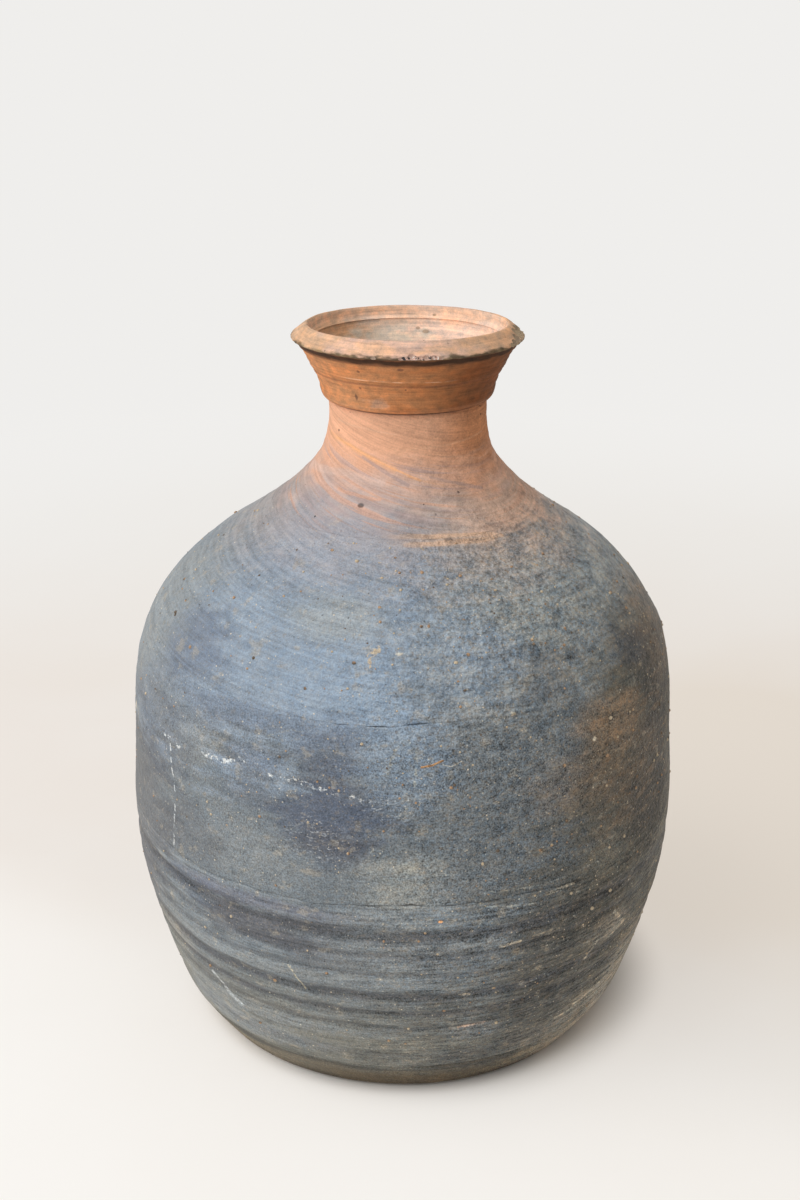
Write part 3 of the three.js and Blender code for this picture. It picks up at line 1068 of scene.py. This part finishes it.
def reddening(f):
    """Grey below, then pink, then red, with the strokes that cross the neck."""
    broad, fine = brushed(f, (46, 3.0), 1), brushed(f, (55, 1.2), 2)
    level = f.height + 14 * broad + 10 * fine + 24 * f.sway((14, 14, 8), 11, 3.0)
    warm = f.side(78, 0.35, 0.9)
    # Deeper red on the right: partly the clay's own colour and partly painted shade.
    red = f.mix(TERRACOTTA, DEEP_RED_AND_SHADE, f.side(75, 0.45, 1.0))
    dusty = f.mix(DUSTY_PINK, (0.600, 0.395, 0.290), warm)
    dusty = f.mix(dusty, (0.400, 0.345, 0.345), f.side(-35, 0.7, 1.0) * 0.7)
    f.lay(dusty, f.step(level, 266, 300) * 0.45)
    f.lay(dusty, f.step(level + 9 * warm, 297, 306) * 0.8)
    f.lay(f.mix(PINK_SMEAR, (0.700, 0.385, 0.250), warm), f.step(level, 303, 316) * 0.75)
    f.lay(red, f.step(level, 308, 332))
    across, drawn = f.rise(334, 321) * f.rise(290, 304), broad + 0.7 * fine
    f.lay((0.31, 0.25, 0.25), f.step(drawn, 0.0, 0.15) * across * (0.6 - 0.35 * warm))
    f.lay((0.68, 0.37, 0.24), f.step(drawn, -0.03, -0.17) * across * 0.55)
    torn = 2.0 * fine
    for mark, strength, half_width, points in [
        ((0.50, 0.345, 0.245), 0.45, 2.4, [(-6, 294), (14, 294), (36, 292)]),
        ((0.58, 0.385, 0.265), 0.75, 0.8, [(-9.5, 295.2), (14, 295.2), (33, 293.6), (41, 291.5)]),
        ((0.58, 0.385, 0.265), 0.75, 0.9, [(0, 292.4), (18, 292.3), (36, 291.4)]),
        ((0.64, 0.34, 0.22), 0.50, 0.6, [(-41.5, 310.5), (-14, 309)]),
        ((0.60, 0.45, 0.39), 0.45, 1.6, [(-87, 314), (-41.5, 318), (-14.5, 316)]),
        ((0.30, 0.25, 0.26), 0.45, 0.8, [(-31.5, 327), (-14.5, 321), (0.5, 315.5)]),
        ((0.27, 0.24, 0.25), 0.35, 0.8, [(14.5, 318.5), (30, 315), (46, 310.5)]),
        (BRIGHT_ORANGE, 0.30, 1.4, [(-71, 333.5), (-43, 331), (-24, 326.7), (-8, 322.5)]),
        (BRIGHT_ORANGE, 0.60, 0.55, [
            (-60, 332.7), (-43, 331), (-24, 326.7), (-8, 322.5), (8, 317.5)]),
        ((0.66, 0.38, 0.24), 0.5, 0.4, [(8, 317.5), (22, 314.5)]),
        ((0.74, 0.44, 0.28), 0.25, 0.5, [(-11, 331), (8.5, 332.5), (37, 333.5), (66, 335)]),
        ((0.72, 0.41, 0.26), 0.30, 0.5, [(-11, 330), (22, 328.5), (59, 322.5)]),
        ((0.70, 0.42, 0.28), 0.5, 0.5, [(-60, 342), (-30, 341), (-8, 339.5)]),
    ]:
        heights = [height for _, height in points]
        if f.reaches(min(heights) - 3, max(heights) + 3):
            beside_joint = points[0][1] < 300
            radius = DOME_RADIUS if beside_joint else NECK_RADIUS
            worn = f.stroke(points, half_width, radius, torn)
            if beside_joint:
                worn = worn * f.step(f.azimuth, -14, 14)
            f.lay(mark, worn * strength)
    calm = 1 - 0.65 * f.step(level, 280, 308)
    f.brightness = 1 + (f.brightness - 1) * calm + 0.75 * fine
    f.warmth = f.warmth * calm * calm
    return 0.25 * fine


f, roughness, relief = smoked_clay("smoked_shoulder_clay", SHOULDER_SEAM, NECK_SEAM)
strokes = reddening(f)
ragged = f.sway((2.4, 2.4, 2.0), 51) * 2
crumbs = f.blotches((1.8, 1.8, 1.8), 52, -0.03, 0.06)
clot = f.stroke([(-5.6, 256), (-7.6, 253.5), (-7.4, 249.5)], 1.3, 130, ragged * 2) * crumbs
f.lay((0.47, 0.37, 0.25), clot * 0.9)
for azimuth, height, half_width, half_height in [(-1, 254.5, 0.6, 0.8), (22, 227, 0.5, 0.9)]:
    f.lay(CREAM, f.patch(azimuth, height, half_width, half_height, 0.8, ragged) * 0.7)
shoulder_finish = f.fill(roughness, relief + strokes)

f, _, relief = smoked_clay("reddened_neck_clay", NECK_SEAM, COLLAR_SEAM)
strokes = reddening(f)
pit = f.patch(-23.5, 306, 1.6, 0.9) + f.specks(6, 0.6, 0.25, 55)
f.lay(SOOT, pit * 0.7)
# Painted shadow: the top of the neck, under the collar's overhang, is laid near black.
f.lay((0.10, 0.05, 0.03), f.rise(348.8, 349.8) * 0.85)
neck_finish = f.fill(0.8, 0.35 * relief + strokes - 0.4 * pit, specular=0.25)

f, _, relief = smoked_clay("brown_foot_clay", 0, FOOT_SEAM)
torn = 45 * f.sway((34, 34, 4), 61, 4.0)
f.lay(BROWN_FOOT, f.step(f.height + torn, 27, 12) * 0.75)
f.lay((0.30, 0.25, 0.18), f.step(f.height + torn, 20, 4) * f.around(-5, 12, 35) * 0.85)
ring = f.step(abs(f.height - 21 + 0.3 * torn), 4, 1) * f.side(-12, 0.5, 0.95)
f.lay((0.07, 0.065, 0.055), ring * 0.65)
# Painted shade: the downward-facing bottom edge of the foot, near black round the front.
f.lay((0.045, 0.036, 0.028), f.rise(11, 2) * f.around(4, 70, 15) * 0.9)
# Partly pale scuffs and partly painted light thrown up from the floor, low on the right.
f.lay((0.52, 0.45, 0.36), f.around(58, 30, 8) * 0.7)
f.lay((0.115, 0.085, 0.05), f.around(2, 34, 10) * f.rise(20, 11) * 0.8)
foot_finish = f.fill(0.85, relief)


# %% [markdown]
# The collar, the lip and the inside kept the red of the clay. The wheel left fine lines on the
# collar, and the lip's bevel has a paler skin, which years of handling wore through to tan.

# %% Red clay
def red_clay(name, base, shade, shade_from=0.04):
    """Red clay with wheel lines and dark specks: the finish with its colour, and its relief."""
    f = Finish(name, base)
    drift, lines = f.sway((25, 25, 7), 31, 3.0), f.sway((30, 30, 0.9), 32, 3.0)
    sand, mottle = f.sway((0.8, 0.8, 0.8), 33), f.sway((5, 5, 3.2), 30, 3.0)
    f.lay(shade, f.step(drift, shade_from, 0.16) * 0.8)
    f.brightness = 1 + 0.7 * lines + 0.5 * sand + 0.9 * mottle
    f.warmth = 0.35 * mottle + 0.3 * drift
    dots = f.specks(5, 0.5, 0.3, 34)
    f.lay((0.10, 0.06, 0.04), dots * 0.7)
    return f, 0.1 * sand + 0.25 * lines - 0.25 * dots


# %% Collar
f, relief = red_clay("red_collar_clay", (0.515, 0.212, 0.084), (0.42, 0.150, 0.050))
# Lighter on the left towards the window and much darker on the right: partly the clay's own tone
# and partly painted light and shade.
f.lay((0.600, 0.265, 0.115), f.side(-65, 0.3, 1.0) * 0.7)
f.lay((0.17, 0.058, 0.020), f.side(70, 0.3, 1.0) * 0.88)
ringed = f.height + 0.35 * wave(f.azimuth, 1, 2.0) + 0.15 * wave(f.azimuth, 4)
bright = f.step(abs(ringed - 368.6), 0.45, 0.05) * f.blotches((9, 9, 1), 35, -0.06, 0.08)
f.lay((0.78, 0.52, 0.36), bright * f.around(-8, 42, 20) * 0.6)
f.lay((0.26, 0.10, 0.05), f.step(abs(ringed - 365.9), 0.8, 0.2) * 0.55)
# Painted highlight: the rounded lower rim of the collar is laid paler.
f.lay((0.66, 0.36, 0.21), f.rise(354, 352) * 0.2)
# Painted shadow: the top of the collar, under the lip's overhang, is laid dark.
f.lay((0.16, 0.065, 0.03), f.rise(376.2, 377.5) * 0.6)
smudge = f.patch(-18.5, 356, 6, 2.2, 1.4, 3 * f.sway((4, 4, 2.5), 29))
f.lay((0.45, 0.36, 0.30), smudge * 0.3)
for azimuth, height, half_width, half_height in [
        (-27.5, 373, 0.9, 0.7), (-4, 375.5, 1.6, 0.8), (-34, 358, 1.0, 1.6),
        (-29.5, 363.5, 0.8, 0.7)]:
    f.lay((0.13, 0.06, 0.04), f.patch(azimuth, height, half_width, half_height) * 0.7)
collar_finish = f.fill(0.8, relief, specular=0.25)

# %% Lip
f, relief = red_clay("pale_lip_clay", PEACH, (0.66, 0.42, 0.28))
outer = f.step(f.height - 383 + 14 * f.sway((14, 14, 3), 36), -3.5, 1.5)
worn = f.sway((12, 12, 6), 37, 3.0)
f.lay((0.56, 0.345, 0.205), f.step(f.facing(-90) + worn, 0.35, 0.85) * 0.85)
f.lay((0.60, 0.36, 0.21), f.step(f.facing(75) + worn, 0.35, 0.85) * 0.85)
from_axis = f.vector("MULTIPLY_ADD", f.place, (1, 1, 0), (-NECK_LEAN * MM, 0, 0))
edge = f.height + 6 * f.sway((7, 7, 2.5), 38, 4.0) - tilt_at(0, 381, 60) * f.facing(0)
skirted = f.step(f.length(from_axis), 0.0545, 0.0565)
patchy = f.blotches((9, 9, 4), 42, -0.12, 0.06, 3.0)
olive = f.mix((0.22, 0.160, 0.085), (0.075, 0.055, 0.028), patchy)
f.lay(olive, f.step(edge, 383.0, 381.3) * skirted * 0.9)
# Painted shade: below the bevel the lip's underside is laid dark red-brown, and a painted shadow
# line runs in the hollow under it.
f.lay((0.25, 0.100, 0.045), f.rise(381.1, 380.4) * skirted * 0.95)
undercut_shadow = abs(f.height - 379.2 + 3 * f.sway((11, 11, 4), 43))
f.lay((0.035, 0.018, 0.010), f.step(undercut_shadow, 1.7, 0.6) * skirted * 0.85)
lip_finish = f.fill(0.8, relief, specular=0.25)

# %% Inside
f, relief = red_clay("inner_clay", (0.80, 0.555, 0.425), (0.72, 0.475, 0.345))
# Painted shade: the inner wall at the back left, which the rim shades from the window, is laid
# darker.
f.lay((0.52, 0.31, 0.17), f.step(f.facing(-100) + f.sway((12, 12, 5), 39, 3.0), 0.3, 0.95) * 0.9)
grey = f.step(f.facing(-168) + 0.6 * f.sway((9, 9, 6), 40, 3.0), 0.80, 1.0) * f.rise(386, 372)
f.lay((0.60, 0.55, 0.45), grey * 0.7)
f.lay((0.78, 0.525, 0.37), f.rise(379, 384) * 0.7)
for azimuth, height, half_width, half_height in [
        (167.6, 373.6, 2.4, 1.0), (173, 375.1, 1.4, 0.7), (163, 382, 1.2, 0.6)]:
    f.lay((0.30, 0.20, 0.12), f.patch(azimuth, height, half_width, half_height) * 0.7)
f.lay((0.16, 0.13, 0.11), f.rise(330, 250) * 0.9)
inner_finish = f.fill(0.9, relief, specular=0.25)

# %% Broken clay
f = Finish("broken_clay", (0.42, 0.31, 0.24))
crumbs, bits = f.sway((1.4, 1.4, 1.4), 71, 3.0), f.sway((2.0, 2.0, 2.0), 72, 2.0)
f.lay((0.62, 0.41, 0.33), f.blotches((6, 6, 6), 73, -0.1, 0.05))
f.lay((0.80, 0.74, 0.68), f.step(crumbs, 0.08, 0.16))
f.lay((0.06, 0.055, 0.06), f.step(bits, 0.07, 0.13))
weathered = f.mix((0.40, 0.30, 0.19), (0.25, 0.185, 0.125), f.blotches((4, 4, 4), 74, -0.12, 0.12))
old = f.step(f.azimuth, 38, 55)
f.lay(weathered, old * 0.9)
broken_finish = f.fill(0.9, (0.9 - 0.5 * old) * crumbs + (0.5 - 0.3 * old) * bits, specular=0.25)

# %% [markdown]
# ## Putting the finishes on
# Each section gets its outer finish, and the faces that lie deeper than the skin get the inner one.

# %% Slots and frame
SECTIONS = [
    (foot, "foot", "foot_clay", foot_finish),
    (lower_wall, "lower_wall", "smoked_clay", lower_finish),
    (belly_wall, "belly_wall", "smoked_clay", belly_finish),
    (shoulder, "shoulder", "shoulder_clay", shoulder_finish),
    (neck, "neck", "red_clay", neck_finish),
    (collar, "collar", "red_clay", collar_finish),
    (lip, "lip", "lip_clay", lip_finish),
]
UNDERSIDE, INNER_DEPTH, LIP_INSIDE = 3, 3.5, 51.4

for piece, node, slot, finish in SECTIONS:
    piece.data.materials.append(finish)
    piece.data.materials.append(inner_finish)
    line = collar_line if piece in (collar, lip) else body_line
    for face in piece.data.polygons:
        height = face.center.z / MM
        radius = math.hypot(face.center.x / MM - lean_at(height), face.center.y / MM)
        inner_edge = LIP_INSIDE if piece is lip else line(height) - INNER_DEPTH
        if height > UNDERSIDE and radius < inner_edge:
            face.material_index = 1
    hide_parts(node)
    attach(piece, "root")
    print(piece.name, "stands for", node, "with slot", slot)

# %% [markdown]
# ## Chips in the lip
# The lip has lost flakes along its lower front edge and a larger piece at the right. A chip is a
# small rough lump that a Boolean modifier takes away. The lump carries the finish of broken clay,
# and the modifier leaves that finish on the faces it cuts.

# %% Rough lumps to cut with
def rough_lump(name, detail, roughness, seed):
    """A ball of radius 1 mm with an uneven skin."""
    bpy.ops.object.select_all(action="DESELECT")
    bpy.ops.mesh.primitive_ico_sphere_add(subdivisions=detail, radius=MM)
    lump = new_object(name)
    bpy.ops.object.mode_set(mode="EDIT")
    bpy.ops.mesh.select_all(action="SELECT")
    bpy.ops.transform.vertex_random(offset=roughness * MM, seed=seed)
    bpy.ops.object.mode_set(mode="OBJECT")
    return lump


def joined(pieces, name):
    """Joins pieces into one, whose origin is the frame's."""
    bpy.ops.object.select_all(action="DESELECT")
    for piece in pieces:
        piece.select_set(True)
    bpy.context.view_layer.objects.active = pieces[0]
    bpy.ops.object.transform_apply()
    bpy.ops.object.join()
    return new_object(name)


# %% Cut the chips
CHIPS = [
    (-16.3, 60.6, 381.5, (1.6, 1.0, 1.1)), (-2.5, 60.5, 381.5, (2.4, 1.5, 1.5)),
    (1.5, 60.0, 382.2, (2.2, 2.0, 2.2)), (5.0, 60.4, 381.6, (2.6, 1.8, 1.5)),
    (8.5, 60.4, 381.9, (2.2, 1.8, 1.7)), (12.0, 60.3, 381.7, (2.2, 1.8, 1.8)),
    (15.5, 60.7, 381.4, (1.6, 1.2, 1.0)), (26.5, 51.6, 388.9, (4.4, 0.9, 0.9)),
    (60.5, 61.0, 382.4, (2.4, 2.2, 2.6)), (64.5, 61.2, 384.0, (3.6, 3.4, 3.8)),
    (70.0, 61.4, 387.0, (5.6, 5.8, 6.0)), (77.0, 61.2, 389.2, (7.0, 7.8, 7.8)),
    (85.0, 61.6, 389.2, (7.4, 8.2, 8.2)), (93.0, 62.2, 388.5, (7.4, 8.2, 8.2)),
    (100.0, 62.8, 387.8, (6.2, 8.0, 8.0)),
]
FLAKE_ROUGH, BREAK_ROUGH, BREAK_FROM = 0.14, 0.05, 60

cutters = []
for number, (azimuth, radius, height, scale) in enumerate(CHIPS):
    turn = math.radians(azimuth)
    place = Vector((radius * math.sin(turn), -radius * math.cos(turn), height)) * MM
    place += Vector((NECK_LEAN, 0, tilt_at(azimuth, height, radius))) * MM
    lump = rough_lump("chip", 3, FLAKE_ROUGH if azimuth < BREAK_FROM else BREAK_ROUGH, number)
    lump.location, lump.rotation_euler, lump.scale = place, (0, 0, turn), scale
    cutters.append(lump)
cutter = joined(cutters, "chips")
fused = cutter.modifiers.new("fused", "REMESH")
fused.mode, fused.voxel_size = "VOXEL", 0.3 * MM
bpy.ops.object.modifier_apply(modifier=fused.name)
cutter.data.materials.append(broken_finish)
bpy.context.view_layer.objects.active = lip
cut = lip.modifiers.new("chips", "BOOLEAN")
cut.operation, cut.object, cut.solver = "DIFFERENCE", cutter, "EXACT"
cut.material_mode = "TRANSFER"
bpy.ops.object.modifier_apply(modifier=cut.name)
bpy.data.objects.remove(cutter)
bpy.ops.object.select_all(action="DESELECT")
lip.select_set(True)
bpy.context.view_layer.objects.active = lip
bpy.ops.object.shade_smooth_by_angle(angle=math.radians(38))
print("lip", len(lip.data.polygons), "faces,", len(lip.data.materials), "finishes")

# %% [markdown]
# ## Grit
# The clay was not sieved well: grains of sand and grog stand out of the skin all over, most of all
# on the right. One grain is modelled, and copies of it are set on points of the skin.

# %% Grains
GRAINS, WHOLE_SKIN, GRAIN_LIMIT = 720, 60000, 148.8
dice = random.Random(11)
grain = rough_lump("grain", 2, 0.16, 4)
bpy.ops.object.mode_set(mode="EDIT")
bpy.ops.mesh.bisect(
    plane_co=(0, 0, -0.45 * MM), plane_no=(0, 0, 1), clear_inner=True, use_fill=True)
bpy.ops.mesh.select_all(action="SELECT")
bpy.ops.mesh.faces_shade_smooth()
bpy.ops.object.mode_set(mode="OBJECT")


def grain_weight(azimuth, height, radius):
    """How likely a grain is here: most on the right of the front, fewest round the back."""
    if not outside(height, radius) or min(abs(height - seam) for seam in SEAMS) < 2:
        return 0
    turn = math.radians(azimuth)
    if radius * max(abs(math.sin(turn)), abs(math.cos(turn))) > GRAIN_LIMIT:
        return 0
    side = 0.35 + 0.65 * max(0, math.cos(math.radians(azimuth - 38))) ** 2
    return side * (0.5 + 0.5 * ease(height, 110, 170)) * ease(height, 25, 45)


places = []
for section in (lower_wall, belly_wall, shoulder):
    points = section.data.vertices
    weights = values_on(section, grain_weight)
    wanted = round(GRAINS * sum(weights) / WHOLE_SKIN)
    places += dice.choices(points, weights, k=wanted)
grains = []
for point in places:
    size = 0.38 + 0.6 * dice.random() ** 2.5
    copy = grain if not grains else bpy.context.object
    copy.location = point.co
    copy.rotation_euler = point.normal.to_track_quat("Z", "Y").to_euler()
    copy.scale = size * (0.8 + 0.5 * dice.random()), size, size * (0.6 + 0.4 * dice.random())
    grains.append(copy)
    if len(grains) < len(places):
        bpy.ops.object.duplicate()
grit = joined(grains, "grit_in_the_clay")
print(len(grains), "grains,", len(grit.data.polygons), "faces")

# %% Finish of the grains
f = Finish("grit", (0.12, 0.09, 0.065))
kind = f.sway((5, 5, 5), 81, 0.0)
f.lay((0.38, 0.24, 0.14), f.step(kind, -0.16, -0.06))
f.lay((0.50, 0.405, 0.28), f.step(kind, -0.02, 0.08))
f.brightness = 1 + 1.2 * f.sway((0.6, 0.6, 0.6), 82)
grit.data.materials.append(f.fill(0.75))
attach(grit, "root")

# %% [markdown]
# ## Floor and world
# Round the jar the floor is a matt surface that takes a soft shadow. A share of it is a plain glow
# for the camera and for reflections, which grows with distance until floor and world are one, so no
# horizon shows. It lights nothing. Close beside the foot the camera loses the glow and sees the
# shadow.

# %% World
WORLD_PALE, ROOM_LIGHT, ROOM_LEVEL = (0.865, 0.855, 0.838), (1.0, 0.98, 0.95, 1), 0.36

world = bpy.data.worlds.new("pale_room")
bpy.context.scene.world = world
world.use_nodes = True
room = Graph(world.node_tree)
lighting = room.node("Background", None, {"Color": ROOM_LIGHT, "Strength": ROOM_LEVEL})
backdrop = room.node("Background", None, {"Color": (*WORLD_PALE, 1)})
room.show(room.node("MixShader", None, {0: room.seen(), 1: lighting, 2: backdrop}), "World Output")

# %% Floor finish
FLOOR_PALE, WARM_BAND = (0.885, 0.872, 0.850), (0.855, 0.800, 0.756)
FLOOR_LIT, WARM_SHADE = (0.985, 0.975, 0.955), (0.815, 0.745, 0.665)
WARM_PLACE, SHADOW_PLACE = (0.26, 0.23, 0), (0.012, 0.012, 0)
NEAR_GLOW, GLOW_FROM, GLOW_TO = 0.7, 0.45, 1.3

f = Finish("pale_wash", FLOOR_PALE)
away, beside, leaning = (f.away_from(place) for place in ((0, 0, 0), WARM_PLACE, SHADOW_PLACE))
mottle = f.cloud((170, 170, 170), 41, 4.0)
# A warmer, darker band lies across the floor just behind the jar.
banded = f.step(f.y + 0.3 * (mottle - 0.5), -0.15, 0.2) * f.step(f.y, 0.85, 0.25)
f.lay(WARM_BAND, banded * (0.45 + 0.8 * mottle))
f.lay(FLOOR_LIT, f.step(0.5 * f.x + f.y, 0.03, -0.1) * 0.9)
shade = 0.8 * f.step(beside, 0.36, 0.08) + 0.4 * f.step(beside, 1.3, 0.2)
f.lay(WARM_SHADE, shade * (0.55 + 0.8 * mottle))
f.lay(WORLD_PALE, f.step(away, 0.6, 1.6))
f.fill(0.9, specular=0.1)
shaded = f.step(leaning, 0.148, 0.108) * f.node("LightPath", output="Is Camera Ray")
near = NEAR_GLOW * f.step(away, 0.109, 0.122) * (1 - shaded)
share = (near + (1 - NEAR_GLOW) * f.step(away, GLOW_FROM, GLOW_TO)) * f.seen()
glow = f.node("Emission", None, {"Color": f.colour, "Strength": 1.0})
matt = Signal(f, f.tree.nodes["Principled BSDF"])
f.show(f.node("MixShader", None, {0: share, 1: matt, 2: glow}), "Material Output")
floor.data.materials.append(f.material)
